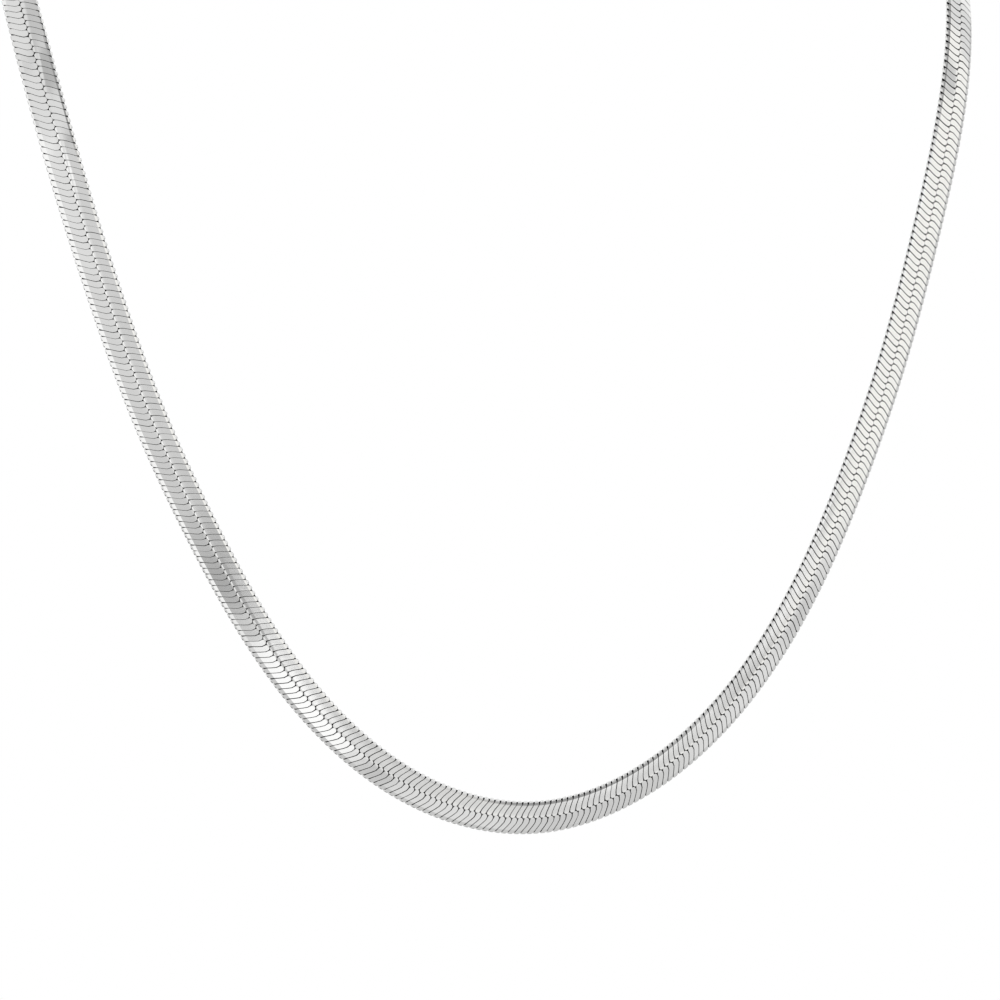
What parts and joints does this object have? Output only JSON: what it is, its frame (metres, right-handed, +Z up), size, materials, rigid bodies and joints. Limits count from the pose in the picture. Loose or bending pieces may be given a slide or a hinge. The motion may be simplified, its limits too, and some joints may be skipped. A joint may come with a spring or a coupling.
{
  "type": "herringbone chain necklace",
  "caption": "Closed herringbone chain necklace in its worn form, a flat flexible band with end caps, jump rings and a lobster clasp at the nape.",
  "frame": {"origin": "middle of the closed clasp and its rings at the nape, where the necklace rests on the back of the neck", "axes": "+Z up along the neck, -Y towards the front of the loop, +X along the clasp, to the right as seen from the front"},
  "size_m": [0.1452, 0.1048, 0.1477],
  "materials": {
    "chain_silver": "sterling silver links, pressed flat and polished",
    "fitting_silver": "sterling silver, cast or drawn and polished"
  },
  "bodies": {
    "root": {"chain": "chain_silver", "end_cap_left": "fitting_silver", "end_cap_right": "fitting_silver", "jump_ring_left": "fitting_silver", "jump_ring_right": "fitting_silver", "clasp": "fitting_silver"}
  },
  "joints": []
}
